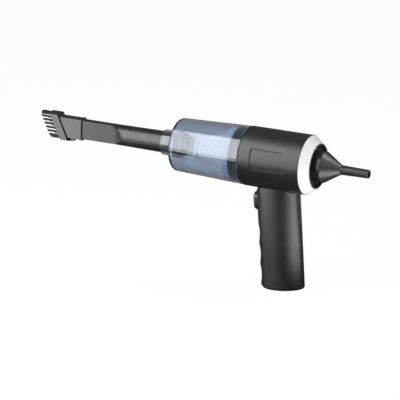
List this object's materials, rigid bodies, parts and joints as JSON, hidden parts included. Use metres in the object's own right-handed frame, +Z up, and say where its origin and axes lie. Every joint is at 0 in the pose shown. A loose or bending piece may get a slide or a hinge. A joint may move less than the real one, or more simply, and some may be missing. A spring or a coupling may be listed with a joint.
{
  "type": "handheld vacuum cleaner",
  "caption": "Pistol-shaped cordless hand vacuum: clear dust cup with a pleated cone filter, crevice nozzle with a sliding brush, and a blow nozzle behind.",
  "frame": {"origin": "centre of the flat foot of the handle", "axes": "+Z up the handle, +X towards the blower end, +Y to the side of the screw holes"},
  "size_m": [0.3549, 0.058, 0.1646],
  "materials": {
    "housing_abs": "fine matt moulding",
    "nozzle_abs": "satin moulding",
    "button_abs": "semi-gloss moulding",
    "grip_rubber": "soft-touch moulding",
    "clear_plastic": "polished, clear with a grey-blue tint",
    "frosted_plastic": "translucent moulding",
    "filter_fleece": "pleated fleece",
    "white_abs": "satin white moulding",
    "seal_rubber": "matt",
    "foam_pad": "foam",
    "steel": "plated",
    "zinc_plate": "zinc plated",
    "bronze": "sintered",
    "armature_steel": "lacquered stack",
    "ferrite": "ground",
    "moulded_plastic": "matt moulding",
    "fan_nylon": "matt moulding",
    "nickel": "nickel plated",
    "circuit_board": "solder mask",
    "lead_pvc": "insulation",
    "cell_wrap": "shrink wrap over a steel can",
    "bristle_nylon": "nylon"
  },
  "bodies": {
    "body": {"shell_left": "housing_abs", "shell_right": "housing_abs", "shell_screws": "steel", "grip_strip": "grip_rubber", "switch_housing": "moulded_plastic", "battery_cell_front": "cell_wrap", "battery_cell_rear": "cell_wrap", "cell_link": "nickel", "battery_pad": "foam_pad", "control_board": "circuit_board", "charge_board": "circuit_board", "charge_socket": "nickel", "charge_lead": "lead_pvc", "cup_spigot": "nozzle_abs", "cup_seal": "seal_rubber", "fan_shroud": "moulded_plastic", "fan_plate": "moulded_plastic", "motor_can": "zinc_plate", "motor_end_cap": "moulded_plastic", "motor_bushes": "bronze", "motor_magnets": "ferrite", "motor_terminals": "nickel", "motor_screws": "steel", "motor_damper": "seal_rubber", "motor_cradle": "moulded_plastic", "motor_leads": "lead_pvc", "rear_ring": "white_abs", "exhaust_collar": "nozzle_abs"},
    "button": {"power_button": "button_abs", "switch_plunger": "fan_nylon"},
    "rotor": {"impeller": "fan_nylon", "motor_shaft": "steel", "motor_armature": "armature_steel"},
    "cup": {"dust_cup": "clear_plastic"},
    "filter": {"filter_flange": "frosted_plastic", "filter_pleats": "filter_fleece", "filter_cap": "frosted_plastic"},
    "nozzle": {"crevice_nozzle": "nozzle_abs"},
    "brush": {"brush_collar": "nozzle_abs", "brush_bristles": "bristle_nylon"},
    "blower": {"blow_nozzle": "nozzle_abs"}
  },
  "joints": [
    {"name": "power_press", "type": "slide", "parent": "body", "child": "button", "axis": [1, 0, 0], "range_m": [0, 0.001], "stiffness_N_per_m": 900},
    {"name": "impeller_spin", "type": "hinge", "parent": "body", "child": "rotor", "pos_m": [0, 0, 0.127], "axis": [0.9956, 0, -0.0941], "continuous": true},
    {"name": "cup_pull", "type": "slide", "parent": "body", "child": "cup", "axis": [-0.9956, 0, 0.0941], "range_m": [0, 0.06]},
    {"name": "filter_pull", "type": "slide", "parent": "body", "child": "filter", "axis": [-0.9956, 0, 0.0941], "range_m": [0, 0.0058]},
    {"name": "nozzle_pull", "type": "slide", "parent": "cup", "child": "nozzle", "axis": [-0.9956, 0, 0.0941], "range_m": [0, 0.0215]},
    {"name": "brush_slide", "type": "slide", "parent": "nozzle", "child": "brush", "axis": [0.9956, 0, -0.0941], "range_m": [0, 0.03]},
    {"name": "blow_nozzle_pull", "type": "slide", "parent": "body", "child": "blower", "axis": [0.9956, 0, -0.0941], "range_m": [0, 0.009]}
  ]
}
